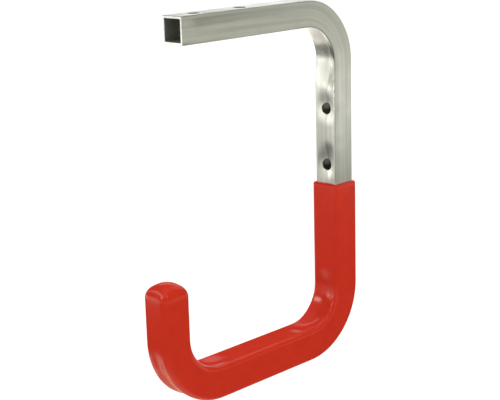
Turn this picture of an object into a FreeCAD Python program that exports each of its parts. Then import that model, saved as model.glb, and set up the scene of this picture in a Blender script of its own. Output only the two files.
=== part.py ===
"""Wall and ceiling hook, bent from one length of square aluminium tube.

The tube runs from an open end along an upper arm, turns down into a leg that is screwed to the wall,
turns forward into a lower arm and up into a short tip. Leg, lower arm and tip wear a thick plastic coat
from just under the leg's screw holes, closed over the tip. The arm has a second pair of holes, so the
same hook can hang from a ceiling.

Frame: X is across the tube, the wall is the plane Y = 0 with the room at -Y, and Z is up. The origin is
on the wall face of the leg, halfway between its two screw holes. Sizes are in millimetres.
"""

import FreeCAD
import Part
import math
import os

V = FreeCAD.Vector
ACROSS = V(1, 0, 0)
WALLWARD = V(0, 1, 0)
UP = V(0, 0, 1)

# The tube
side = 20.0  # outside width of the square tube
wall = 2.0  # thickness of its wall
corner_r = 0.5  # outside radius of its long corners
bend_r = 42.0  # radius of each bend, at the middle of the tube

# The hook's outline, over the bare tube
arm_reach = 176.0  # wall to the open end of the upper arm
hook_height = 282.0  # top of the upper arm to the underside of the lower arm
seat_reach = 202.0  # wall to the front of the tip
tip_height = 87.5  # underside of the lower arm to the end of the tube in the tip

# The screw holes, drilled through both walls
hole_d = 9.0  # clearance for an 8 mm screw
hole_pitch = 45.0  # between the two holes of a pair
leg_hole_drop = 87.0  # top of the upper arm to the leg's upper hole
arm_hole_inset = 20.0  # open end to the arm's first hole
drill_overrun = 1.0  # how far each cut runs past the tube

# How bending and drilling have pressed the wall on the inside of the hook
top_crush = 2.2  # the inner wall of the top bend moves in by this
top_dish = 3.5  # and its middle by this much more
low_crush = 0.4  # the same for the two bends under the coat
low_dish = 1.6
low_hollow = 1.2  # and how far the middle of their outer wall is drawn in
dish_run = 16.0  # length over which a dish fades out along the straight tube
bend_ease = 0.3  # share of a bend over which its crush builds up
dimple = 1.8  # depth of the dimple round each screw hole
dimple_reach = 16.0  # and how far it reaches from the hole along the tube

# The plastic coat
coat_t = 2.8  # thickness on the walls
coat_below_hole = 15.0  # leg's lower hole to the coat's upper edge
rim_r = 1.8  # rounding of that edge
cap_t = 4.3  # thickness over the end of the tube
tip_corner_r = 6.2  # radius of the coat's long corners on the tip
tip_edge_r = 5.2  # rounding round the top of the tip

# What the smooth curves need
QUARTER = 0.5523  # share of the way to the corner at which a cubic quarter circle has its poles
least_step = 0.5  # closest that two stops along a length may lie
nudge = 0.01  # move along a length that shows how its rings slope
flat_enough = 1e-7  # furthest that a pole of a flat face may stand off it

# Places that follow from the sizes above
half = side / 2
coat_r = corner_r + coat_t
top_z = leg_hole_drop + hole_pitch / 2
under_z = top_z - hook_height
bend_reach = bend_r + half
leg_holes = [V(0, 0, hole_pitch / 2), V(0, 0, -hole_pitch / 2)]
arm_holes = [V(0, arm_hole_inset + i * hole_pitch - arm_reach, top_z) for i in (0, 1)]
coat_z = leg_holes[1].z - coat_below_hole

# Points on the middle line of the tube, from its open end to its end in the tip
arm_end = V(0, -arm_reach, top_z - half)
arm_back = V(0, -bend_reach, top_z - half)
leg_top = V(0, -half, top_z - bend_reach)
leg_coat = V(0, -half, coat_z)
leg_foot = V(0, -half, under_z + bend_reach)
seat_back = V(0, -bend_reach, under_z + half)
seat_front = V(0, bend_reach - seat_reach, under_z + half)
tip_foot = V(0, half - seat_reach, under_z + bend_reach)
tip_end = V(0, half - seat_reach, under_z + tip_height)


class Skin:
    """One closed surface of the hook: how far its walls stand from the tube's, and its corner radii."""

    def __init__(self, offset, radius, tip_radius):
        self.half = half + offset
        self.radius = radius
        self.tip_radius = tip_radius


TUBE_OUTSIDE = Skin(0.0, corner_r, corner_r)
TUBE_INSIDE = Skin(-wall, 0.0, 0.0)
COAT_OUTSIDE = Skin(coat_t, coat_r, tip_corner_r)


def ramp(share):
    """Smooth rise from 0 to 1 as share goes from 0 to 1, level outside."""
    share = min(1.0, max(0.0, share))
    return share * share * (3 - 2 * share)


def fade(distance, reach):
    """1 at no distance, falling smoothly to 0 at the reach."""
    return ramp(1 - distance / reach)


def depth_at(stop, bumps):
    """Depth of the inner wall's dish at a stop, from bumps of (their stop, depth, reach)."""
    return sum(depth * fade(abs(stop - peak), reach) for peak, depth, reach in bumps)


def stops_of(total, bumps):
    """Stops that a length's smooth curves need: its ends, and where each bump starts, peaks and ends."""
    edges = {peak + side * reach for peak, depth, reach in bumps for side in (-1, 0, 1)}
    stops = [0.0]
    for edge in sorted(edges):
        if stops[-1] + least_step < edge < total - least_step:
            stops.append(edge)
    return stops + [total]


def pressed_wall(start, end, inward, depth):
    """Poles across one wall: level at its two ends, its middle pressed in by depth."""
    level = [start + (end - start) * share for share in (0, 1 / 6, 1 / 3, 2 / 3, 5 / 6, 1)]
    return [place + inward * sink for place, sink in zip(level, (0, 0, depth, depth, 0, 0))]


def rounding(corner, start, end):
    """Poles of a quarter circle from start to end, inside a square corner."""
    return [start, start + (corner - start) * QUARTER, end + (corner - end) * QUARTER, end]


def level_wall(start, end):
    """Poles of a straight edge."""
    return [start + (end - start) * share for share in (0, 1 / 3, 2 / 3, 1)]


def ring(skin, centre, out, radius, walls=(0.0, 0.0, 0.0)):
    """One cross-section of the tube, as the poles of each edge in turn round it.

    out points to the outside of the hook. walls holds how far the inner wall is moved in, how deep its
    dish is, and how deep the outer wall's."""
    moved, dished, hollowed = walls
    reach = skin.half
    inner = moved - reach
    flat = reach - radius
    near = inner + radius

    def at(x, y):
        return centre + ACROSS * x + out * y

    edges = [
        pressed_wall(at(-flat, inner), at(flat, inner), out, dished),
        rounding(at(reach, inner), at(flat, inner), at(reach, near)),
        level_wall(at(reach, near), at(reach, flat)),
        rounding(at(reach, reach), at(reach, flat), at(flat, reach)),
        pressed_wall(at(flat, reach), at(-flat, reach), -out, hollowed),
        rounding(at(-reach, reach), at(-flat, reach), at(-reach, flat)),
        level_wall(at(-reach, flat), at(-reach, near)),
        rounding(at(-reach, inner), at(-reach, near), at(-flat, inner)),
    ]
    return edges if radius else edges[::2]


def across(poles):
    """Cubic curve through one edge of a ring: one span, or two for a pressed wall."""
    spans = [4, 4] if len(poles) == 4 else [4, 2, 4]
    curve = Part.BSplineCurve()
    curve.buildFromPolesMultsKnots(poles, spans, list(range(len(spans))), False, 3)
    return curve


def along(places, slopes, stops):
    """Cubic curve along the tube, through each place with the slope given there."""
    poles = [places[0]]
    for i in range(len(stops) - 1):
        third = (stops[i + 1] - stops[i]) / 3
        poles += [places[i] + slopes[i] * third, places[i + 1] - slopes[i + 1] * third]
    poles.append(places[-1])
    curve = Part.BSplineCurve()
    curve.buildFromPolesMultsKnots(poles, [4] + [2] * (len(stops) - 2) + [4], stops, False, 3)
    return curve


def patch(rows, slopes, stops):
    """Face over one side of a length, whose poles, and their slopes, rows and slopes hold at each stop."""
    if all(is_straight(places) for places in zip(*rows)):
        rows, slopes, stops = [[each[0], each[-1]] for each in (rows, slopes, stops)]
    lines = [along(places, ways, stops) for places, ways in zip(zip(*rows), zip(*slopes))]
    edges = [across(rows[0]), lines[-1], across(rows[-1]), lines[0]]
    surface = Part.BSplineSurface()
    surface.buildFromPolesMultsKnots(
        [line.getPoles() for line in lines],
        edges[0].getMultiplicities(),
        lines[0].getMultiplicities(),
        edges[0].getKnots(),
        lines[0].getKnots(),
        False,
        False,
        3,
        3,
    )
    face = surface.toShape()
    first_u, last_u, first_v, last_v = face.ParameterRange
    normal = face.normalAt((first_u + last_u) / 2, (first_v + last_v) / 2)
    poles = [pole for line in lines for pole in line.getPoles()]
    if any(abs((pole - poles[0]).dot(normal)) > flat_enough for pole in poles):
        return face
    border = Part.Wire([edge.toShape() for edge in edges])
    return facing(Part.Face(border), normal)


def is_straight(places):
    """Whether the places lie on one straight line."""
    way = (places[-1] - places[0]).normalize()
    return all((place - places[0]).cross(way).Length < flat_enough for place in places)


def facing(face, way):
    """The flat face, turned to face the given way."""
    return face if face.normalAt(0, 0).dot(way) > 0 else face.reversed()


def slope_of(ring_at, stop, total):
    """How fast each pole of the ring moves as its stop moves along the length."""
    low = max(0.0, stop - nudge)
    high = min(total, stop + nudge)
    sides = zip(ring_at(low), ring_at(high))
    return [[(after - before) / (high - low) for before, after in zip(*side)] for side in sides]


def length(ring_at, stops):
    """Solid through the rings at the stops. ring_at gives the ring at any stop."""
    rings = [ring_at(stop) for stop in stops]
    slopes = [slope_of(ring_at, stop, stops[-1]) for stop in stops]
    faces = [patch(rows, ways, stops) for rows, ways in zip(zip(*rings), zip(*slopes))]
    for end, turn in ((0, -1), (-1, 1)):
        border = Part.Wire([across(poles).toShape() for poles in rings[end]])
        faces.append(facing(Part.Face(border), slopes[end][0][0] * turn))
    shell = Part.makeShell(faces)
    shell.sewShape()
    return Part.makeSolid(shell)


def straight(skin, start, end, out, bumps=(), radius=None):
    """Straight length from start to end whose inner wall has the bumps pressed in."""
    radius = skin.radius if radius is None else radius
    total = (end - start).Length
    way = (end - start) / total

    def ring_at(stop):
        return ring(skin, start + way * stop, out, radius, (0.0, depth_at(stop, bumps), 0.0))

    return length(ring_at, stops_of(total, bumps))


def bend(skin, centre, outs, pressed, last_radius=None):
    """Quarter turn about centre. outs are the outward directions at its two ends."""
    last_radius = skin.radius if last_radius is None else last_radius
    total = bend_r * math.pi / 2
    crush, dished, hollowed = pressed

    def ring_at(stop):
        share = stop / total
        angle = share * math.pi / 2
        out = outs[0] * math.cos(angle) + outs[1] * math.sin(angle)
        eased = ramp(share / bend_ease) * ramp((1 - share) / bend_ease)
        radius = skin.radius + (last_radius - skin.radius) * ramp(share)
        return ring(skin, centre + out * bend_r, out, radius, (crush * eased, dished, hollowed * eased))

    shares = (0, bend_ease / 2, bend_ease, 0.5, 1 - bend_ease, 1 - bend_ease / 2, 1)
    return length(ring_at, [share * total for share in shares])


def dimples(start, holes, depth_axis):
    """Bumps round the screw holes of a straight length that begins at start."""
    return [((hole - depth_axis * half - start).Length, dimple, dimple_reach) for hole in holes]


def bare_lengths(skin):
    """Upper arm, top bend and the leg as far as the coat."""
    arm_dish = ((arm_back - arm_end).Length, top_dish, dish_run)
    leg_dish = (0.0, top_dish, dish_run)
    return [
        straight(skin, arm_end, arm_back, UP, dimples(arm_end, arm_holes, UP) + [arm_dish]),
        bend(skin, arm_back - UP * bend_r, (UP, WALLWARD), (top_crush, top_dish, 0.0)),
        straight(skin, leg_top, leg_coat, WALLWARD, dimples(leg_top, leg_holes, WALLWARD) + [leg_dish]),
    ]


def coated_lengths(skin, cap=0.0):
    """The leg from the coat's edge, both lower bends, the lower arm and the tip, longer by the cap."""
    seat_run = WALLWARD * dish_run
    tip_run = UP * dish_run
    dish_in = (dish_run, low_dish, dish_run)
    dish_out = (0.0, low_dish, dish_run)
    foot_dish = ((leg_foot - leg_coat).Length, low_dish, dish_run)
    low = (low_crush, low_dish, low_hollow)
    last = skin.tip_radius
    return [
        straight(skin, leg_coat, leg_foot, WALLWARD, [foot_dish]),
        bend(skin, seat_back + UP * bend_r, (WALLWARD, -UP), low),
        straight(skin, seat_back, seat_back - seat_run, -UP, [dish_out]),
        straight(skin, seat_back - seat_run, seat_front + seat_run, -UP),
        straight(skin, seat_front + seat_run, seat_front, -UP, [dish_in]),
        bend(skin, seat_front + UP * bend_r, (-UP, -WALLWARD), low, last),
        straight(skin, tip_foot, tip_foot + tip_run, -WALLWARD, [dish_out], last),
        straight(skin, tip_foot + tip_run, tip_end + UP * cap, -WALLWARD, (), last),
    ]


def join(solids):
    """One solid from lengths that meet end to end."""
    return solids[0].fuse(solids[1:])


def round_end(solid, height, radius):
    """The solid with the edges that lie at one height rounded."""
    edges = [e for e in solid.Edges if all(abs(v.Z - height) < 1e-6 for v in e.Vertexes)]
    return solid.makeFillet(radius, edges)


def drill(place, direction):
    """Screw hole through both walls. place is on the face that meets the wall or the ceiling."""
    length = side + 2 * drill_overrun
    return Part.makeCylinder(hole_d / 2, length, place + direction * drill_overrun, -direction)


def bent_tube():
    """The aluminium tube, with its four screw holes."""
    outside = join(bare_lengths(TUBE_OUTSIDE) + coated_lengths(TUBE_OUTSIDE))
    inside = join(bare_lengths(TUBE_INSIDE) + coated_lengths(TUBE_INSIDE))
    holes = [drill(hole, WALLWARD) for hole in leg_holes] + [drill(hole, UP) for hole in arm_holes]
    return outside.cut([inside] + holes)


def plastic_coat():
    """The coat: what stands between its own skin and the tube, closed over the tube's end."""
    lengths = coated_lengths(COAT_OUTSIDE, cap_t)
    lengths[0] = round_end(lengths[0], coat_z, rim_r)
    lengths[-1] = round_end(lengths[-1], tip_end.z + cap_t, tip_edge_r)
    return join(lengths).cut(join(coated_lengths(TUBE_OUTSIDE)))


def main():
    os.makedirs("parts", exist_ok=True)
    for name, piece in (("bent_tube", bent_tube()), ("plastic_coat", plastic_coat())):
        piece.exportStep("parts/" + name + ".step")


main()
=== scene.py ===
"""Wall and ceiling hook of bent square tube with a dipped plastic coat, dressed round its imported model.

Laid out as an add-on: property groups hold the sizes and colours, one operator makes each piece and one
the stage. Lengths are in metres. X is across the tube, the wall is Y = 0 with the room at -Y, Z is up.
Along the tube, a place is given by its stop, the distance from the open end along the middle line. In a
cross-section x runs across and y towards the outside of the hook.
"""

import math

import bpy
import numpy as np
from bpy.props import FloatProperty, FloatVectorProperty, PointerProperty
from mathutils import Matrix, Vector


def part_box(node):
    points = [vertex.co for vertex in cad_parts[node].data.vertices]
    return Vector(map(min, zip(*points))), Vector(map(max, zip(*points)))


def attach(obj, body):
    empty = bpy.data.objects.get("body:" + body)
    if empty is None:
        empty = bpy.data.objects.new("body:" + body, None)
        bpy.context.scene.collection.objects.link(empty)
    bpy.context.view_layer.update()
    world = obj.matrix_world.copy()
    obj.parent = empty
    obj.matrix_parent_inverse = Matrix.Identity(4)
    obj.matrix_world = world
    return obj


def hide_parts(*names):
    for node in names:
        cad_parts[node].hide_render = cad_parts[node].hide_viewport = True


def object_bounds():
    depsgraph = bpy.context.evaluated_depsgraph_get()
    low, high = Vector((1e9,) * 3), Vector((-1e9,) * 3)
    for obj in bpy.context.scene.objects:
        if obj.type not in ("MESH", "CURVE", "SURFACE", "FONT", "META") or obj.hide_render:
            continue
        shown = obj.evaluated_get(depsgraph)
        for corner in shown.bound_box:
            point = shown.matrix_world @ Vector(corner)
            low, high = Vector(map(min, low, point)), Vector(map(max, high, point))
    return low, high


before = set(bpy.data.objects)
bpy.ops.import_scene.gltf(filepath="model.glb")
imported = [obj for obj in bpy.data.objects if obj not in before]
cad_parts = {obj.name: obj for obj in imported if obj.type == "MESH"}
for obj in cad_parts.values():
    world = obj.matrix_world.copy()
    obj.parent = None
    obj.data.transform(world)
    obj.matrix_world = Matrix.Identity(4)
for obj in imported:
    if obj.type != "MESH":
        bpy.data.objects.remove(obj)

bl_info = {
    "name": "Dipped Tube Hook",
    "version": (1, 0, 0),
    "blender": (4, 5, 0),
    "location": "View3D > Sidebar > Hook",
    "description": "Makes a wall hook of bent square tube with a dipped plastic coat",
    "category": "Add Mesh",
}

MM = 0.001
CAD_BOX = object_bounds()
TUBE_LOW, TUBE_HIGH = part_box("bent_tube")
COAT_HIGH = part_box("plastic_coat")[1]

# A cross-section's stretches are numbered in turn: inner wall, corner, right wall, corner, outer wall,
# corner, left wall and corner
OUTER_WALL = 4

# Cells round a cross-section: in a corner, in a side wall and, on the coat, in an inner or outer wall
TUBE_CORNER_CELLS, TUBE_SIDE_CELLS = 4, 8
COAT_CORNER_CELLS, COAT_SIDE_CELLS, COAT_WALL_CELLS = 8, 12, 16

# Cells over the coat's rim, over the edge of its tip, and from there to the tip's middle
RIM_CELLS, TIP_EDGE_CELLS, TIP_CELLS = 8, 9, 8

# Longest gaps between rows: after the open end, after a hole, in and after a bend, and on the coat's skins
END_STEP, HOLE_STEP, BEND_STEP = 3 * MM, 2.5 * MM, 2.2 * MM
COAT_INNER_STEP, COAT_OUTER_STEP = 3 * MM, 2.5 * MM

# Share of a step by which a gap may be too long for its cells and still not get one more
STEP_SLACK = 1e-6

# A hole lies in a square block of cells: cells along its edge, distance from its middle to its edge, angle of
# its first corner, and shares of the way from its rim to the hole at which rings of cells lie
HOLE_CELLS = 12
HOLE_BLOCK = 7.0 * MM
BLOCK_CORNER = math.radians(225)
RING_SHARES = (0.35, 0.7, 1.0)

# Share of a bend's length over which its crush, tilt, hollow and swell rise from nothing
BEND_EASE = 0.3

# Share of a wall's half width over which a fold's bottom is rounded, on the tube and outside on the coat
FOLD_BLUNT, COAT_BLUNT = 0.15, 0.7

# Angle between two faces beyond which their shared edge is sharp
SHARP_ANGLE = math.radians(32)


def linear(hex_colour):
    """Linear red, green and blue of an sRGB hex colour."""
    parts = [int(hex_colour[i : i + 2], 16) / 255 for i in (1, 3, 5)]
    return tuple(p / 12.92 if p <= 0.04045 else ((p + 0.055) / 1.055) ** 2.4 for p in parts)


def size_prop(name, description, default):
    """A length that can be changed in the sidebar."""
    return FloatProperty(name=name, description=description, default=default, unit="LENGTH")


def share_prop(name, description, default):
    """A share between 0 and 1 that can be changed in the sidebar."""
    return FloatProperty(
        name=name, description=description, default=default, min=0.0, max=1.0, subtype="FACTOR"
    )


def colour_prop(name, description, hex_colour):
    """A colour that can be changed in the sidebar, from its sRGB hex value."""
    default = linear(hex_colour)
    return FloatVectorProperty(name=name, description=description, default=default, subtype="COLOR")


class HookTubeSizes(bpy.types.PropertyGroup):
    """Sizes of the tube, its bends, and what bending has done to its walls"""

    side: size_prop("Side", "Outside width of the square tube", TUBE_HIGH[0] - TUBE_LOW[0])
    wall: size_prop("Wall", "Thickness of the tube's wall", 2.0 * MM)
    corner: size_prop("Corner radius", "Outside radius of the tube's long corners", 0.4 * MM)
    inner_corner: size_prop("Inside corner radius", "Radius of the corners inside the tube", 0.3 * MM)
    bend: size_prop("Bend radius", "Radius of each bend at the middle of the tube", 42.0 * MM)
    arm: size_prop("Arm reach", "Wall to the open end of the upper arm", 176.0 * MM)
    seat: size_prop("Seat reach", "Wall to the front of the tip", -TUBE_LOW[1])
    height: size_prop("Height", "Arm's top to the lower arm's underside", TUBE_HIGH[2] - TUBE_LOW[2])
    tip: size_prop("Tip height", "Underside of the lower arm to the tube's end in the tip", 87.5 * MM)
    deburr: size_prop("Deburred edge", "Width of the broken edge at the open end", 0.3 * MM)
    top_crush: size_prop("Top crush", "How far the inner wall of the top bend has moved in", 1.5 * MM)
    top_tilt: size_prop(
        "Top tilt", "How much less the top bend's inner wall has moved in at +X, and more at -X", 0.7 * MM
    )
    top_swell: size_prop("Top swell", "How far the outer wall of the top bend stands out", 1.3 * MM)
    top_dish: size_prop("Top dish", "How much deeper the middle of the top bend's inner wall lies", 3.0 * MM)
    top_run: size_prop("Top run", "Length over which the top bend's dish fades out", 28.0 * MM)
    top_offset: share_prop(
        "Top offset", "Share of the half width by which the top bend's dish lies towards +X", 0.4
    )
    top_blunt: share_prop(
        "Top bluntness", "Share of the half width over which the dish's bottom is rounded", 0.35
    )
    low_crush: size_prop("Low crush", "How far the inner walls of the lower bends have moved in", 0.4 * MM)
    low_dish: size_prop("Low dish", "How much deeper the lower bends' inner walls lie midway", 1.6 * MM)
    low_hollow: size_prop("Low hollow", "How far the lower bends' outer walls are drawn in", 1.2 * MM)
    dish_run: size_prop(
        "Dish run", "Length over which lower dishes and the top bend's crush and corners fade out", 16.0 * MM
    )
    fold: size_prop("Fold", "How far the inner wall's middle line lies in from its edges", 0.7 * MM)
    side_fold: size_prop("Side fold", "How far the middles of the arm's side walls lie in", 0.8 * MM)
    leg_side_fold: size_prop("Leg side fold", "How far the middles of the leg's side walls lie in", 0.2 * MM)
    fold_start: size_prop("Fold start", "Length from the open end over which the folds set in", 14.0 * MM)
    bend_inner_corner: size_prop("Inner bend corner", "Inner corner radius in the top bend", 0.8 * MM)
    bend_outer_corner: size_prop("Outer bend corner", "Outer corner radius in the top bend", 1.0 * MM)


class HookHoleSizes(bpy.types.PropertyGroup):
    """Sizes and places of the four screw holes"""

    diameter: size_prop("Diameter", "Diameter of each screw hole", 9.0 * MM)
    pitch: size_prop("Pitch", "Distance between the two holes of a pair", 45.0 * MM)
    leg_drop: size_prop("Leg drop", "Top of the arm to the leg's upper hole", 87.0 * MM)
    arm_inset: size_prop("Arm inset", "Open end to the arm's first hole", 20.0 * MM)
    break_edge: size_prop("Broken edge", "Width of the broken edge round a hole", 0.2 * MM)
    dimple: size_prop("Dimple", "Depth of the dimple round a hole", 1.8 * MM)
    dimple_reach: size_prop("Dimple reach", "How far a dimple reaches along the tube", 16.0 * MM)
    dimple_shift: size_prop("Dimple shift", "How far a dimple's middle lies before its hole", 3.5 * MM)


class HookCoatSizes(bpy.types.PropertyGroup):
    """Sizes of the plastic coat"""

    thickness: size_prop("Thickness", "Thickness of the coat on the walls", COAT_HIGH[0] - TUBE_HIGH[0])
    rim: size_prop("Rim radius", "Rounding of the coat's upper edge", 1.8 * MM)
    cap: size_prop("Cap", "Thickness of the coat over the middle of the tube's end", 7.6 * MM)
    tip_corner: size_prop("Tip corner radius", "Radius of the long corners on the tip", 6.2 * MM)
    tip_edge: size_prop("Tip edge radius", "Rounding round the top of the tip", 6.0 * MM)
    tip_dome: size_prop("Tip dome", "Rise of the tip's middle above its edges", 4.6 * MM)


class HookLooks(bpy.types.PropertyGroup):
    """Colours of the hook and of the floor"""

    metal: colour_prop("Metal", "Colour of the mill-finish aluminium", "#E1E2DC")
    # Painted shade: the bore's colour is darker than the metal, standing in for the shade inside the tube
    bore: colour_prop("Bore", "Colour of the dull metal inside the tube", "#85867E")
    plastic: colour_prop("Plastic", "Colour of the dipped plastic", "#C8290E")
    floor: colour_prop("Floor", "Colour of the pale floor", "#FAFAF8")


def ramp(share):
    """Smooth step: 3 t squared minus 2 t cubed, with t held between 0 and 1."""
    share = np.clip(share, 0.0, 1.0)
    return share * share * (3 - 2 * share)


def route():
    """Stops where each straight length and bend starts in turn, and where the tube ends."""
    tube = bpy.context.scene.hook_tube
    turn = tube.bend * math.pi / 2
    reach = tube.bend + tube.side / 2
    lengths = [
        tube.arm - reach,
        turn,
        tube.height - 2 * reach,
        turn,
        tube.seat - 2 * reach,
        turn,
        tube.tip - reach,
    ]
    return np.concatenate(([0.0], np.cumsum(lengths)))


def carried(stops, x, y):
    """Points at x across and y outwards in the cross-sections at the stops.

    The middle line is followed length by length. A straight length adds its run times its direction. A bend
    adds its radius times (sine of its angle along its first direction, less one minus the cosine outwards).
    The total angle turned then gives the outward direction that y is measured along."""
    tube = bpy.context.scene.hook_tube
    edges = route()
    turned = np.zeros_like(stops)
    centre = [np.full_like(stops, -tube.arm), np.full_like(stops, TUBE_HIGH[2] - tube.side / 2)]
    for i in range(len(edges) - 1):
        shortest = 0.0 if i else -math.inf
        longest = edges[i + 1] - edges[i] if edges[i + 1] < edges[-1] else math.inf
        run = np.clip(stops - edges[i], shortest, longest)
        before = math.pi / 2 * (i // 2)
        ahead = (math.cos(before), -math.sin(before))
        outward = (math.sin(before), math.cos(before))
        if i % 2:
            angle = run / tube.bend
            turned = turned + angle
            along, away = tube.bend * np.sin(angle), tube.bend * (np.cos(angle) - 1)
        else:
            along, away = run, 0.0
        for k in (0, 1):
            centre[k] = centre[k] + along * ahead[k] + away * outward[k]
    reach_y = centre[0] + y * np.sin(turned)
    reach_z = centre[1] + y * np.cos(turned)
    return np.stack(np.broadcast_arrays(x, reach_y, reach_z), axis=-1)


def hole_stops():
    """Stops of the arm's two screw holes and the leg's two."""
    tube = bpy.context.scene.hook_tube
    holes = bpy.context.scene.hook_holes
    corner = tube.bend + tube.side / 2
    leg = route()[2] + holes.leg_drop - corner
    return [holes.arm_inset, holes.arm_inset + holes.pitch, leg, leg + holes.pitch]


def near_bend(stops, index, run):
    """One in a bend, fading to nothing over the run along the straight lengths by a smooth step."""
    edges = route()
    start, end = edges[2 * index + 1], edges[2 * index + 2]
    beyond = np.maximum(np.maximum(start - stops, stops - end), 0.0)
    return ramp(1 - beyond / run)


def pressing(stops):
    """How the walls are pressed at each stop: crush, tilt, dish, hollow, swell, offset and bluntness.

    The inner wall has moved in by the crush, it leans by the tilt and its deepest line lies below its edges
    by the dish, the offset off the middle and rounded over the bluntness. The outer wall's middle is drawn in
    by the hollow and stands out by the swell.

    A dish is level round its bend and fades along the straight lengths by a smooth step. The other four rise
    from nothing at each end of their bend, but the top bend's settle a little beyond it. A dimple fades by a
    smooth step from its hole."""
    tube = bpy.context.scene.hook_tube
    holes = bpy.context.scene.hook_holes
    edges = route()
    crush, tilt, dish, hollow, swell = [np.zeros_like(stops) for _ in range(5)]
    bends = [
        (tube.top_crush, tube.top_tilt, tube.top_dish, 0.0, tube.top_swell),
        (tube.low_crush, 0.0, tube.low_dish, tube.low_hollow, 0.0),
        (tube.low_crush, 0.0, tube.low_dish, tube.low_hollow, 0.0),
    ]
    for i, (bend_crush, bend_tilt, bend_dish, bend_hollow, bend_swell) in enumerate(bends):
        start, end = edges[2 * i + 1], edges[2 * i + 2]
        share = (stops - start) / (end - start)
        settle = 0.0 if i else tube.dish_run
        falling = ramp((end + settle - stops) / (BEND_EASE * (end - start) + settle))
        eased = ramp(share / BEND_EASE) * falling
        crush = crush + bend_crush * eased
        tilt = tilt + bend_tilt * eased
        hollow = hollow + bend_hollow * eased
        swell = swell + bend_swell * eased
        dish = dish + bend_dish * near_bend(stops, i, tube.dish_run if i else tube.top_run)
    for hole in hole_stops():
        away = np.abs(stops - hole + holes.dimple_shift)
        dish = dish + holes.dimple * ramp(1 - away / holes.dimple_reach)
    near = near_bend(stops, 0, tube.top_run)
    blunt = FOLD_BLUNT + (tube.top_blunt - FOLD_BLUNT) * near
    return crush, tilt, dish, hollow, swell, tube.top_offset * near, blunt


def spread(cells):
    """Stretch and share of each column round a cross-section. cells holds the shares for each stretch."""
    kinds = np.concatenate([np.full(len(shares), kind) for kind, shares in enumerate(cells)])
    return kinds, np.concatenate(cells)


def crease(place, offset=0.0, blunt=FOLD_BLUNT):
    """Depth of a fold at a place between -1 and 1 across a wall: a V with a rounded bottom, 1 at the offset.

    The place less the offset, over one less their product, is 0 at the offset and still -1 and 1 at the
    edges."""
    place = (place - offset) / (1 - offset * place)
    return (np.hypot(1, blunt) - np.hypot(place, blunt)) / (np.hypot(1, blunt) - blunt)


def section(kinds, shares, reach, radii, pressed, folds):
    """x and y of the columns of cross-sections whose walls stand reach from the middle.

    Each wall is a straight line and each corner a quarter circle, with one radius for the two inner corners
    and one for the outer ones. The inner wall is moved in by the crush, less the tilt at +X and more by it at
    -X, and pressed in by the dish and its fold along a V, the offset off its middle and rounded over the
    bluntness. The outer wall stands out by the swell, and its middle is drawn in by the hollow times a smooth
    step from its edges. The side walls are folded in by a V along their middle."""
    crush, tilt, dish, hollow, swell, offset, blunt = pressed
    fold, side_fold = folds
    near, far = radii
    place = 2 * shares - 1
    middle = ramp(1 - np.abs(place))
    quarter = shares * math.pi / 2
    lean, rise = np.sin(quarter), np.cos(quarter)
    low, high = crush - reach + near, reach + swell - far
    pinched = reach - side_fold * crease(place)
    x = [
        (reach - near) * place,
        reach - near + near * lean,
        pinched,
        reach - far + far * rise,
        (far - reach) * place,
        far - reach - far * lean,
        -pinched,
        near - reach - near * rise,
    ]
    y = [
        crush - tilt * place - reach + (dish + fold) * crease(place, offset, blunt),
        low - tilt - near * rise,
        low - tilt + (high - low + tilt) * shares,
        high + far * lean,
        reach + swell - hollow * middle,
        high + far * rise,
        high + (low + tilt - high) * shares,
        low + tilt - near * lean,
    ]
    return np.choose(kinds, x), np.choose(kinds, y)


def tube_skin(stops, inside):
    """Reach, corner radii and folds of the tube's outer or inner skin at the stops."""
    tube = bpy.context.scene.hook_tube
    bent = near_bend(stops, 0, tube.dish_run)
    wall, corner = (tube.wall, tube.inner_corner) if inside else (0.0, tube.corner)
    growth = (tube.bend_inner_corner - tube.corner, tube.bend_outer_corner - tube.corner)
    radii = [corner + more * bent for more in growth]
    start = 0.0 if inside else ramp(stops / tube.fold_start)
    edges = route()
    leg = ramp((stops - edges[1]) / (edges[2] - edges[1]))
    folds = (tube.fold * start, (tube.side_fold + (tube.leg_side_fold - tube.side_fold) * leg) * start)
    return tube.side / 2 - wall, radii, folds


class Shape:
    """Vertices and faces of one piece, gathered loop by loop."""

    def __init__(self):
        self.places = []
        self.runs = []
        self.count = 0
        self.faces = []

    def add(self, stops, x, y):
        """Adds vertices given along the tube, and returns their numbers in the same layout."""
        stops, x, y = np.broadcast_arrays(stops, x, y)
        self.places.append(carried(stops, x, y).reshape(-1, 3))
        self.runs.append(np.stack([stops, x, y], axis=-1).reshape(-1, 3))
        numbers = np.arange(self.count, self.count + stops.size).reshape(stops.shape)
        self.count += stops.size
        return numbers

    def bands(self, rows, keep=None):
        """Faces between closed rows that lie next to each other, where keep is true."""
        here, there = rows[:-1], rows[1:]
        quads = np.stack([here, there, np.roll(there, -1, axis=1), np.roll(here, -1, axis=1)], axis=-1)
        self.faces.append(quads.reshape(-1, 4) if keep is None else quads[keep])

    def fan(self, pole, row):
        """Triangles from one vertex to a closed row, as quads whose last two corners are the same."""
        around = np.roll(row, -1)
        self.faces.append(np.stack([np.full_like(row, pole), row, around, around], axis=-1))

    def finish(self, name, bore):
        """The mesh object, with each vertex's place along the tube, and whether it lies in the bore, kept."""
        places, runs = np.concatenate(self.places), np.concatenate(self.runs)
        quads = np.concatenate(self.faces)
        faces = [face[:3] if face[2] == face[3] else face for face in quads.tolist()]
        mesh = bpy.data.meshes.new(name)
        mesh.from_pydata(places.tolist(), [], faces)
        along = mesh.attributes.new("along", "FLOAT_VECTOR", "POINT")
        along.data.foreach_set("vector", runs.ravel())
        mesh.attributes.new("bore", "FLOAT", "POINT").data.foreach_set("value", bore)
        mesh.shade_smooth()
        mesh.set_sharp_from_angle(angle=SHARP_ANGLE)
        piece = bpy.data.objects.new(name, mesh)
        bpy.context.scene.collection.objects.link(piece)
        return piece


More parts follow.
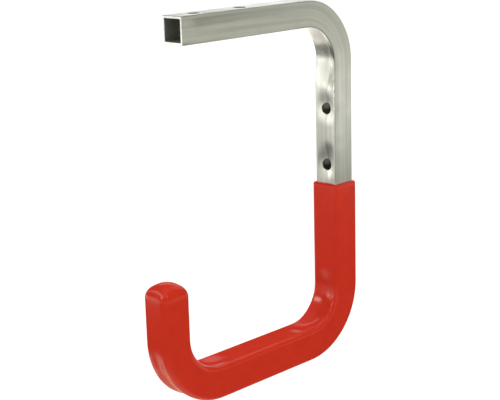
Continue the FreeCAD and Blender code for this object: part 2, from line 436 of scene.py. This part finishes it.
def stops_between(edges, steps):
    """Stops from the first edge to the last, with each edge among them and gaps of at most its step."""
    stops = [np.array([edges[0]])]
    for start, end, step in zip(edges, edges[1:], steps):
        count = max(1, math.ceil((end - start) / step - STEP_SLACK))
        stops.append(np.linspace(start, end, count + 1)[1:])
    return np.concatenate(stops)


def even(count):
    """Shares of a stretch cut into equal cells, without its end."""
    return np.arange(count) / count


def pierce(shape, skins, rows, columns, hole):
    """Joins the outer and inner skins of one wall round a screw hole, and returns the loops between them.

    The rim of a square block of cells is joined to a circle by rings a share of the way between them, at the
    height of the wall there. The broken edge steps in, and the two skins' circles are joined by the hole's
    wall. skins holds the vertex numbers and the wall's height for the outer and the inner skin, and rows and
    columns are the first and last of the block."""
    holes = bpy.context.scene.hook_holes
    radius, edge = holes.diameter / 2, holes.break_edge
    corners = 4 * HOLE_CELLS
    angles = BLOCK_CORNER + np.arange(corners) * 2 * math.pi / corners
    chain = []
    for (numbers, height), step in zip(skins, (1, -1)):
        block = numbers[rows[0] : rows[1] + 1, columns[0] : columns[1] + 1]
        rim = np.concatenate([block[:-1, 0], block[-1, :-1], block[:0:-1, -1], block[0, :0:-1]])
        runs = np.concatenate(shape.runs)[rim]
        way = 1 if runs[corners // 2, 1] > 0 else -1
        loops = [rim]
        for share in RING_SHARES:
            stops = runs[:, 0] * (1 - share) + share * (hole + (radius + edge) * np.cos(angles))
            x = runs[:, 1] * (1 - share) + share * way * (radius + edge) * np.sin(angles)
            loops.append(shape.add(stops, x, height(stops, x)))
        stops, x = hole + radius * np.cos(angles), way * radius * np.sin(angles)
        into = edge * step * (1 if way > 0 else -1)
        loops.append(shape.add(stops, x, height(stops, x) + into))
        chain.append(loops)
    return chain[0] + chain[1][::-1]


def wall_height(inside, outer):
    """Function that gives y of a skin's inner or outer wall at a stop and x."""

    def height(stops, x):
        reach, radii, folds = tube_skin(stops, inside)
        crush, tilt, dish, hollow, swell, offset, blunt = pressing(stops)
        place = x / (reach - radii[1 if outer else 0])
        if outer:
            return reach + swell - hollow * ramp(1 - np.abs(place))
        return crush - tilt * place - reach + (dish + folds[0]) * crease(place, offset, blunt)

    return height


def tube_rows():
    """Stops of the tube's rows, close together round its holes, dishes and bends."""
    tube = bpy.context.scene.hook_tube
    edges = list(route())
    block = 2 * HOLE_BLOCK / HOLE_CELLS
    marks = {edges[0] + tube.deburr: END_STEP}
    for hole in hole_stops():
        marks[hole - HOLE_BLOCK] = block
        marks[hole + HOLE_BLOCK] = HOLE_STEP
    for edge in edges[1:]:
        marks[edge] = BEND_STEP
    ordered = sorted(marks)
    return stops_between(ordered, [marks[mark] for mark in ordered])


def tube_columns():
    """Stretch and share of each column round the tube, and where a hole's block starts in its two walls."""
    tube = bpy.context.scene.hook_tube
    flat = tube.side / 2 - tube.corner
    edge = 0.5 - HOLE_BLOCK / (2 * flat)
    before = [0.0, edge / 2]
    block = edge + (1 - 2 * edge) * even(HOLE_CELLS)
    wall = np.concatenate([before, block, [1 - edge, 1 - edge / 2]])
    corner = even(TUBE_CORNER_CELLS)
    kinds, shares = spread([wall, corner, even(TUBE_SIDE_CELLS), corner] * 2)
    outer_start = int(np.argmax(kinds == OUTER_WALL))
    return kinds, shares, (len(before), len(before) + outer_start)


def tube_skins(shape, stops, kinds, shares):
    """Adds the outer and the inner skin, and for each the row that steps in at the open end's broken edge."""
    tube = bpy.context.scene.hook_tube
    open_end = np.zeros((1, 1))
    skins, ends = [], []
    for inside in (False, True):
        reach, radii, folds = tube_skin(stops, inside)
        skins.append(shape.add(stops, *section(kinds, shares, reach, radii, pressing(stops), folds)))
        reach, radii, folds = tube_skin(open_end, inside)
        reach = reach + (tube.deburr if inside else -tube.deburr)
        ends.append(shape.add(open_end, *section(kinds, shares, reach, radii, pressing(open_end), folds)))
    return skins, ends


def make_tube():
    """The bent tube: outer and inner skin joined at both ends and through its eight holes in the walls."""
    kinds, shares, block_starts = tube_columns()
    stops = tube_rows()[:, None]
    shape = Shape()
    (outside, bore_side), ends = tube_skins(shape, stops, kinds, shares)
    keep = np.ones((len(stops) - 1, len(kinds)), bool)
    for hole in hole_stops():
        row = int(np.argmin(np.abs(stops[:, 0] - (hole - HOLE_BLOCK))))
        rows = (row, row + HOLE_CELLS)
        for outer, column in zip((False, True), block_starts):
            columns = (column, column + HOLE_CELLS)
            keep[rows[0] : rows[1], columns[0] : columns[1]] = False
            skins = [(outside, wall_height(False, outer)), (bore_side, wall_height(True, outer))]
            loops = pierce(shape, skins, rows, columns, hole)
            shape.bands(np.stack(loops)[:, ::-1])
    shape.bands(outside, keep)
    shape.bands(bore_side[::-1], keep[::-1])
    shape.bands(np.concatenate([outside[-1:], bore_side[-1:]]))
    shape.bands(np.concatenate([bore_side[:1], ends[1], ends[0], outside[:1]]))
    # Marks the bore, where the metal is painted darker as painted shade for the inside of the tube
    bore = np.zeros(shape.count)
    bore[bore_side.ravel()] = 1
    return shape.finish("bent_tube_dressed", bore)


def coat_marks():
    """Stops of the coat's rim, of the edges of the lengths and bends under it and of the tube's end."""
    tube = bpy.context.scene.hook_tube
    edges = route()
    rim = edges[2] + (TUBE_HIGH[2] - COAT_HIGH[2]) - tube.bend - tube.side / 2
    return [rim, *edges[3:]]


def coat_rows(marks, crown):
    """Stops of the coat's outer rows, and how far each steps in: over the rim, on, and over the tip's edge.

    At the rim and the tip the rows step in by a radius times one minus the cosine of an angle, while they
    move along by the radius times its sine."""
    coat = bpy.context.scene.hook_coat
    angles = np.linspace(0, math.pi / 2, RIM_CELLS + 1)
    rim_in, rim_on = coat.rim * (1 - np.sin(angles)), coat.rim * (1 - np.cos(angles))
    angles = np.linspace(0, math.pi / 2, TIP_EDGE_CELLS + 1)
    tip_in, tip_on = coat.tip_edge * (1 - np.cos(angles)), coat.tip_edge * np.sin(angles)
    steps = [COAT_OUTER_STEP] * (len(marks) - 1)
    body = stops_between([marks[0] + coat.rim, *marks[1:-1], crown], steps)[1:-1]
    stops = np.concatenate([marks[0] + rim_on, body, crown + tip_on])
    inset = np.concatenate([rim_in, np.zeros(len(body)), tip_in])
    return stops[:, None], inset[:, None]


def coat_skin(kinds, shares, marks, crown):
    """Stops, x and y of the coat's outer rows, up to the last ring before the middle of the tip.

    The corners grow round the last bend by a smooth step. Past the tip's edge the rings shrink evenly. The
    tip is a pillow: its rows are carried on by the dome times (one minus x squared) times (one minus y
    squared), with x and y as shares of the half width."""
    tube = bpy.context.scene.hook_tube
    coat = bpy.context.scene.hook_coat
    bend_start, tip_start = marks[-3:-1]
    stops, inset = coat_rows(marks, crown)
    corner = tube.corner + coat.thickness
    growth = ramp((stops - bend_start) / (tip_start - bend_start))
    radius = corner + (coat.tip_corner - corner) * growth - inset
    half = tube.side / 2 + coat.thickness
    pressed = (*pressing(stops)[:-1], COAT_BLUNT)
    x, y = section(kinds, shares, half - inset, (radius, radius), pressed, (0.0, 0.0))
    scale = np.linspace(1, 0, TIP_CELLS + 1)[1:-1, None]
    stops = np.concatenate([stops, np.broadcast_to(stops[-1:], scale.shape)])
    x, y = np.concatenate([x, x[-1:] * scale]), np.concatenate([y, y[-1:] * scale])
    pillow = coat.tip_dome * (1 - (x / half) ** 2) * (1 - (y / half) ** 2)
    return stops + pillow * ramp((stops - tip_start) / (crown - tip_start)), x, y


def make_coat():
    """The plastic coat: its inner skin on the tube, the rounded rim, the outer skin and the closed tip.

    Rows run from the middle of the tube's end back along the tube, over the rim and forward to the middle of
    the tip."""
    coat = bpy.context.scene.hook_coat
    marks = coat_marks()
    end = marks[-1]
    crown = end + coat.cap - coat.tip_dome - coat.tip_edge
    corner = even(COAT_CORNER_CELLS)
    kinds, shares = spread([even(COAT_WALL_CELLS), corner, even(COAT_SIDE_CELLS), corner] * 2)
    shape = Shape()
    back = stops_between(marks, [COAT_INNER_STEP] * (len(marks) - 1))[::-1, None]
    reach, radii, folds = tube_skin(back, False)
    inner = shape.add(back, *section(kinds, shares, reach, radii, pressing(back), folds))
    outer = shape.add(*coat_skin(kinds, shares, marks, crown))
    poles = shape.add(np.array([end, end + coat.cap]), 0.0, 0.0)
    shape.fan(poles[0], inner[0])
    shape.bands(np.concatenate([inner, outer]))
    shape.fan(poles[1], outer[-1][::-1])
    return shape.finish("plastic_coat_dressed", np.zeros(shape.count))


# Sockets that share their name with others: the two colours of a Mix node and its result, and the two
# shaders of a Mix Shader node
MIX_A, MIX_B, MIX_RESULT = 6, 7, 2
SHADER_A, SHADER_B = 1, 2


def add_node(tree, kind, settings=(), links=()):
    """Adds a node, sets its fields and sockets, and links its inputs to other nodes' outputs.

    A socket goes by its name, or by its number where several share a name."""
    node = tree.nodes.new(kind)
    for name, value in dict(settings).items():
        if isinstance(name, int) or name in node.inputs:
            node.inputs[name].default_value = value
        else:
            setattr(node, name, value)
    for name, source in dict(links).items():
        tree.links.new(source, node.inputs[name])
    return node


def new_material(name):
    """A material with nothing but its output."""
    material = bpy.data.materials.new(name)
    material.use_nodes = True
    material.node_tree.nodes.clear()
    return material, material.node_tree, add_node(material.node_tree, "ShaderNodeOutputMaterial")


def die_lines(tree, along):
    """Relief of the faint straight lines that the die leaves along the tube.

    Real ones are a few hundredths of a millimetre wide, so they are drawn as coarse as they need to show."""
    run, width = 60 * MM, 0.45 * MM
    at = add_node(tree, "ShaderNodeMapping", {"Scale": (1 / run, 1 / width, 1 / width)}, {"Vector": along})
    lines = add_node(
        tree,
        "ShaderNodeTexNoise",
        {"Scale": 1.0, "Detail": 3.0, "Roughness": 0.6},
        {"Vector": at.outputs["Vector"]},
    )
    relief = add_node(
        tree, "ShaderNodeBump", {"Strength": 0.25, "Distance": 0.03 * MM}, {"Height": lines.outputs["Fac"]}
    )
    return relief.outputs["Normal"]


def streaked_colour(tree, along, bore):
    """Colour of the metal in broad streaks along the tube, a few millimetres wide, and painted darker in its
    bore as painted shade for the inside of the tube.
    """
    looks = bpy.context.scene.hook_looks
    run, width = 140 * MM, 3.5 * MM
    at = add_node(tree, "ShaderNodeMapping", {"Scale": (1 / run, 1 / width, 1 / width)}, {"Vector": along})
    streaks = add_node(
        tree, "ShaderNodeTexNoise", {"Scale": 1.0, "Detail": 2.0}, {"Vector": at.outputs["Vector"]}
    )
    tint = add_node(
        tree,
        "ShaderNodeMapRange",
        {"From Min": 0.3, "From Max": 0.7, "To Min": 0.82, "To Max": 1.04},
        {"Value": streaks.outputs["Fac"]},
    )
    bare = add_node(
        tree,
        "ShaderNodeMix",
        {"data_type": "RGBA", "blend_type": "MULTIPLY", "Factor": 1.0, MIX_A: (*looks.metal, 1.0)},
        {MIX_B: tint.outputs["Result"]},
    )
    # Painted shade: in the bore the colour turns darker, standing in for the shade inside the tube
    colour = add_node(
        tree,
        "ShaderNodeMix",
        {"data_type": "RGBA", MIX_B: (*looks.bore, 1.0)},
        {"Factor": bore, MIX_A: bare.outputs[MIX_RESULT]},
    )
    return colour.outputs[MIX_RESULT]


def handled_dullness(tree, along):
    """Roughness in soft patches, about as large as the fingertips that have handled the tube."""
    patch = 14 * MM
    at = add_node(tree, "ShaderNodeMapping", {"Scale": (1 / patch,) * 3}, {"Vector": along})
    mottle = add_node(
        tree, "ShaderNodeTexNoise", {"Scale": 1.0, "Detail": 5.0}, {"Vector": at.outputs["Vector"]}
    )
    dull = add_node(
        tree,
        "ShaderNodeMapRange",
        {"From Min": 0.25, "From Max": 0.75, "To Min": 0.28, "To Max": 0.36},
        {"Value": mottle.outputs["Fac"]},
    )
    return dull.outputs["Result"]


def extruded_aluminium():
    """Extruded aluminium left as it came from the die and the drawing bench.

    To the eye: a soft grey shine with faint straight lines along the tube, broader dull streaks between them
    and a light mottling, from fine grain and handling. The bore is less metallic and painted darker, as
    painted shade for the inside of the tube."""
    material, tree, output = new_material("extruded_aluminium_mill_finish")
    along = add_node(tree, "ShaderNodeAttribute", {"attribute_name": "along"}).outputs["Vector"]
    # Where the bore lies: there the metal is less metallic and carries painted shade
    bore = add_node(tree, "ShaderNodeAttribute", {"attribute_name": "bore"}).outputs["Fac"]
    bare = add_node(tree, "ShaderNodeMapRange", {"To Min": 1.0, "To Max": 0.45}, {"Value": bore})
    shader = add_node(
        tree,
        "ShaderNodeBsdfPrincipled",
        (),
        {
            "Metallic": bare.outputs["Result"],
            "Roughness": handled_dullness(tree, along),
            "Normal": die_lines(tree, along),
            "Base Color": streaked_colour(tree, along, bore),
        },
    )
    tree.links.new(shader.outputs["BSDF"], output.inputs["Surface"])
    return material


def dipped_pvc():
    """Soft PVC, dipped hot over the tube and cured.

    To the eye: one even, strong colour with a smooth half gloss, whose highlights waver a little where the
    coat flowed before it set."""
    looks = bpy.context.scene.hook_looks
    material, tree, output = new_material("dip_moulded_pvc")
    place = add_node(tree, "ShaderNodeTexCoord").outputs["Object"]
    flow_width, skin_grain = 9 * MM, 0.9 * MM
    flow_at = add_node(tree, "ShaderNodeMapping", {"Scale": (1 / flow_width,) * 3}, {"Vector": place})
    flow = add_node(
        tree, "ShaderNodeTexNoise", {"Scale": 1.0, "Detail": 1.0}, {"Vector": flow_at.outputs["Vector"]}
    )
    grain_at = add_node(tree, "ShaderNodeMapping", {"Scale": (1 / skin_grain,) * 3}, {"Vector": place})
    grain = add_node(
        tree, "ShaderNodeTexNoise", {"Scale": 1.0, "Detail": 2.0}, {"Vector": grain_at.outputs["Vector"]}
    )
    gloss = add_node(
        tree,
        "ShaderNodeMapRange",
        {"From Min": 0.3, "From Max": 0.7, "To Min": 0.19, "To Max": 0.24},
        {"Value": grain.outputs["Fac"]},
    )
    tint = add_node(
        tree,
        "ShaderNodeMapRange",
        {"From Min": 0.3, "From Max": 0.7, "To Min": 0.94, "To Max": 1.0},
        {"Value": flow.outputs["Fac"]},
    )
    colour = add_node(
        tree,
        "ShaderNodeMix",
        {"data_type": "RGBA", "blend_type": "MULTIPLY", "Factor": 1.0, MIX_A: (*looks.plastic, 1.0)},
        {MIX_B: tint.outputs["Result"]},
    )
    relief = add_node(
        tree, "ShaderNodeBump", {"Strength": 0.2, "Distance": 0.15 * MM}, {"Height": flow.outputs["Fac"]}
    )
    shader = add_node(
        tree,
        "ShaderNodeBsdfPrincipled",
        {"IOR": 1.53, "Specular IOR Level": 0.33},
        {
            "Roughness": gloss.outputs["Result"],
            "Normal": relief.outputs["Normal"],
            "Base Color": colour.outputs[MIX_RESULT],
        },
    )
    tree.links.new(shader.outputs["BSDF"], output.inputs["Surface"])
    return material


def painted_floor():
    """Matt white painted board, faintly uneven, as under a product on a studio table."""
    looks = bpy.context.scene.hook_looks
    material, tree, output = new_material("matt_white_board")
    place = add_node(tree, "ShaderNodeTexCoord").outputs["Object"]
    patches_per_metre = 1.5
    mottle = add_node(
        tree, "ShaderNodeTexNoise", {"Scale": patches_per_metre, "Detail": 2.0}, {"Vector": place}
    )
    rough = add_node(
        tree,
        "ShaderNodeMapRange",
        {"To Min": 0.75, "To Max": 0.9},
        {"Value": mottle.outputs["Fac"]},
    )
    shader = add_node(
        tree,
        "ShaderNodeBsdfPrincipled",
        {"Base Color": (*looks.floor, 1.0)},
        {"Roughness": rough.outputs["Result"]},
    )
    tree.links.new(shader.outputs["BSDF"], output.inputs["Surface"])
    return material


class HOOK_OT_bent_tube(bpy.types.Operator):
    """Makes the bent aluminium tube with its four screw holes"""

    bl_idname = "hook.bent_tube"
    bl_label = "Bent tube"

    def execute(self, context):
        piece = make_tube()
        piece.data.materials.append(extruded_aluminium())
        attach(piece, "root")
        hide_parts("bent_tube")
        return {"FINISHED"}


class HOOK_OT_plastic_coat(bpy.types.Operator):
    """Makes the dipped plastic coat on the leg, the lower arm and the tip"""

    bl_idname = "hook.plastic_coat"
    bl_label = "Plastic coat"

    def execute(self, context):
        piece = make_coat()
        piece.data.materials.append(dipped_pvc())
        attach(piece, "root")
        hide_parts("plastic_coat")
        return {"FINISHED"}


# Metres from the hook's lowest point down to the floor, and from one edge of the floor to the other
FLOOR_DROP = 0.45
FLOOR_SIZE = 40.0

# The photograph's camera, solved from points on the tube: metres, angles, and lens and sensor in millimetres
CAMERA_PLACE = (0.6379, -0.7395, 0.1966)
CAMERA_YAW = math.radians(45.185)
CAMERA_PITCH = math.radians(14.389)
CAMERA_ROLL = math.radians(-1.591)
CAMERA_LENS = 89.38
CAMERA_SENSOR = 36.0
CAMERA_CLIP = (0.01, 100.0)

WHITE, WARM_WHITE, AMBER = "#FFFFFF", "#FFEFDC", "#FFC898"

# Where the far lamps aim, and their distance from the origin
HOOK_MIDDLE = (0.0, -0.1, -0.03)
LAMP_DISTANCE = 1.6

# Lamps far out: azimuth and elevation in degrees, size in metres, power in watts and colour
SOFT_BOXES = {
    "front_softbox": ((-108.0, 24.0), (0.3, 0.3), 3.2, WARM_WHITE),
    "left_softbox": ((-143.0, -3.0), (0.45, 0.2), 1.15, WHITE),
}
SMALL_LAMPS = {
    "left_lamp": ((-82.8, 45.0), (0.12, 0.12), 1.0, WHITE),
    "right_lamp": ((-8.8, 45.0), (0.12, 0.12), 1.0, WHITE),
}

# Lit cards close by, each for one stretch of the hook: place, target, size, power and colour
CARDS = {
    "card_beside_leg": ((0.36, 0.43, -0.085), (0.01, 0.0, 0.02), (0.16, 0.1), 0.045, WHITE),
    "card_before_leg": ((-0.1, -0.3, 0.025), (0.0, -0.02, 0.045), (0.14, 0.06), 0.055, WHITE),
    "card_below_bend": ((-0.25, -0.27, -0.36), (0.0, -0.02, 0.07), (0.16, 0.14), 0.065, WHITE),
    "card_before_bend": ((-0.167, -0.33, -0.118), (0.0, -0.02, 0.067), (0.1, 0.08), 0.018, WHITE),
    "card_below_tip": ((-0.36, -0.04, -0.47), (0.0, -0.19, -0.155), (0.25, 0.12), 0.09, AMBER),
    "card_under_arm": ((-0.34, 0.08, -0.24), (0.0, -0.03, 0.07), (0.4, 0.28), 0.55, WHITE),
    "card_behind_arm": ((-0.26, 0.15, 0.165), (0.0, -0.12, 0.11), (0.4, 0.1), 0.17, WHITE),
    "card_behind_bend": ((0.0, 0.25, 0.32), (0.0, -0.03, 0.1), (0.25, 0.3), 0.26, WHITE),
}

SILK_STRENGTH = 3.8
SILK_ANGLE = math.radians(150)

# The studio as the hook mirrors it, by elevation in degrees and brightness: a table right below, the dim
# floor beyond it, a dark gap, a lit backdrop at eye level, a dark wall and a ceiling
STUDIO_BANDS = (
    (-56, 0.38),
    (-46, 0.08),
    (-31, 0.08),
    (-26, 0.02),
    (-14, 0.02),
    (-11.5, 0.4),
    (-8, 0.38),
    (-3, 0.3),
    (8, 0.42),
    (11, 0.02),
    (54, 0.02),
    (62, 0.25),
)

# Brightness straight down and straight up, how much less blue the bands are, and the strength of them all
STUDIO_ENDS = (0.38, 0.25)
STUDIO_BLUE = 0.86
STUDIO_STRENGTH = 1.9


def make_floor():
    """The pale floor, wide and flat. The hook mirrors the studio's bands in its place."""
    floor_z = CAD_BOX[0][2] - FLOOR_DROP
    half = FLOOR_SIZE / 2
    corners = [(x, y, floor_z) for x, y in ((-half, -half), (half, -half), (half, half), (-half, half))]
    mesh = bpy.data.meshes.new("floor")
    mesh.from_pydata(corners, [], [(0, 1, 2, 3)])
    floor = bpy.data.objects.new("floor", mesh)
    floor.data.materials.append(painted_floor())
    floor.visible_glossy = False
    bpy.context.scene.collection.objects.link(floor)


def studio_air():
    """The air round the hook: a plain white backdrop to the camera, and the studio's bands in reflections.

    A band's place on the ramp is one plus the sine of its elevation, over two. Matt surfaces get no light
    from it."""
    world = bpy.data.worlds.new("studio_air")
    bpy.context.scene.world = world
    world.cycles_visibility.diffuse = False
    world.use_nodes = True
    tree = world.node_tree
    tree.nodes.clear()
    output = add_node(tree, "ShaderNodeOutputWorld")
    way = add_node(tree, "ShaderNodeTexCoord").outputs["Generated"]
    rise = add_node(tree, "ShaderNodeSeparateXYZ", (), {"Vector": way}).outputs["Z"]
    height = add_node(tree, "ShaderNodeMapRange", {"From Min": -1.0, "From Max": 1.0}, {"Value": rise})
    bands = add_node(tree, "ShaderNodeValToRGB", (), {"Fac": height.outputs["Result"]})
    for end, value in zip(bands.color_ramp.elements, STUDIO_ENDS):
        end.color = (value, value, value, 1)
    for degrees, value in STUDIO_BANDS:
        stop = bands.color_ramp.elements.new((math.sin(math.radians(degrees)) + 1) / 2)
        stop.color = (value, value, value * STUDIO_BLUE, 1)
    studio = add_node(
        tree, "ShaderNodeBackground", {"Strength": STUDIO_STRENGTH}, {"Color": bands.outputs["Color"]}
    )
    backdrop = add_node(tree, "ShaderNodeBackground", {"Color": (1.0, 1.0, 1.0, 1.0)})
    seen = add_node(tree, "ShaderNodeLightPath").outputs["Is Camera Ray"]
    both = add_node(
        tree,
        "ShaderNodeMixShader",
        (),
        {"Fac": seen, SHADER_A: studio.outputs["Background"], SHADER_B: backdrop.outputs["Background"]},
    )
    tree.links.new(both.outputs["Shader"], output.inputs["Surface"])


def lamp_place(azimuth, elevation):
    """Place of a far lamp at an azimuth from X and an elevation, both in degrees, by sines and cosines."""
    turn, rise = math.radians(azimuth), math.radians(elevation)
    flat = LAMP_DISTANCE * math.cos(rise)
    return (flat * math.cos(turn), flat * math.sin(turn), LAMP_DISTANCE * math.sin(rise))


def soft_box(name, place, target, size, power, colour):
    """A lamp behind a square diffuser, or a lit card, aimed at its target. Only glossy surfaces show it."""
    lamp = bpy.data.lights.new(name, "AREA")
    lamp.shape = "RECTANGLE"
    lamp.size, lamp.size_y = size
    lamp.energy = power
    lamp.color = linear(colour)
    light = bpy.data.objects.new(name, lamp)
    aim = (Vector(target) - Vector(place)).to_track_quat("-Z", "Y")
    light.matrix_world = Matrix.LocRotScale(Vector(place), aim, None)
    light.visible_camera = False
    light.visible_diffuse = False
    bpy.context.scene.collection.objects.link(light)


def far_lamps(lamps):
    """Hangs lamps far out, aimed at the middle of the hook."""
    for name, ((azimuth, elevation), size, power, colour) in lamps.items():
        soft_box(name, lamp_place(azimuth, elevation), HOOK_MIDDLE, size, power, colour)


def overhead_silk():
    """A wide, even light from above, as through a big silk. Only matt surfaces show it."""
    lamp = bpy.data.lights.new("overhead_silk", "SUN")
    lamp.energy = SILK_STRENGTH
    lamp.angle = SILK_ANGLE
    light = bpy.data.objects.new("overhead_silk", lamp)
    light.visible_glossy = False
    bpy.context.scene.collection.objects.link(light)


def make_camera():
    """The camera, turned from looking straight down by its roll, then its pitch, then its yaw."""
    scene = bpy.context.scene
    lens = bpy.data.cameras.new("camera")
    lens.sensor_width = CAMERA_SENSOR
    lens.lens = CAMERA_LENS
    lens.clip_start, lens.clip_end = CAMERA_CLIP
    camera = bpy.data.objects.new("camera", lens)
    turn = (
        Matrix.Rotation(CAMERA_YAW, 4, "Z")
        @ Matrix.Rotation(math.pi / 2 - CAMERA_PITCH, 4, "X")
        @ Matrix.Rotation(CAMERA_ROLL, 4, "Z")
    )
    camera.matrix_world = Matrix.Translation(CAMERA_PLACE) @ turn
    scene.collection.objects.link(camera)
    scene.camera = camera


class HOOK_OT_stage(bpy.types.Operator):
    """Makes the pale floor, the soft studio light and the camera"""

    bl_idname = "hook.stage"
    bl_label = "Stage"

    def execute(self, context):
        make_floor()
        studio_air()
        far_lamps(SOFT_BOXES)
        for name, card in CARDS.items():
            soft_box(name, *card)
        overhead_silk()
        far_lamps(SMALL_LAMPS)
        make_camera()
        context.scene.view_settings.view_transform = "Standard"
        return {"FINISHED"}


class VIEW3D_PT_hook(bpy.types.Panel):
    """Lists the hook's sizes and colours, and a button for each piece and the stage"""

    bl_label = "Dipped Tube Hook"
    bl_space_type = "VIEW_3D"
    bl_region_type = "UI"
    bl_category = "Hook"

    def draw(self, context):
        for group in GROUPS:
            settings = getattr(context.scene, group)
            box = self.layout.box()
            for name in settings.__annotations__:
                box.prop(settings, name)
        for operator in OPERATORS:
            self.layout.operator(operator.bl_idname)


OPERATORS = (HOOK_OT_bent_tube, HOOK_OT_plastic_coat, HOOK_OT_stage)
GROUPS = {
    "hook_tube": HookTubeSizes,
    "hook_holes": HookHoleSizes,
    "hook_coat": HookCoatSizes,
    "hook_looks": HookLooks,
}


def register():
    """Registers the classes and hangs the sizes and colours on the scene."""
    for kind in (*GROUPS.values(), *OPERATORS, VIEW3D_PT_hook):
        bpy.utils.register_class(kind)
    for name, kind in GROUPS.items():
        setattr(bpy.types.Scene, name, PointerProperty(type=kind))


def unregister():
    """Takes all that register adds away again."""
    for name in GROUPS:
        delattr(bpy.types.Scene, name)
    for kind in (VIEW3D_PT_hook, *reversed(OPERATORS), *reversed(GROUPS.values())):
        bpy.utils.unregister_class(kind)


def main():
    """Makes each piece and the stage."""
    register()
    bpy.ops.hook.bent_tube()
    bpy.ops.hook.plastic_coat()
    bpy.ops.hook.stage()


if __name__ == "__main__":
    main()
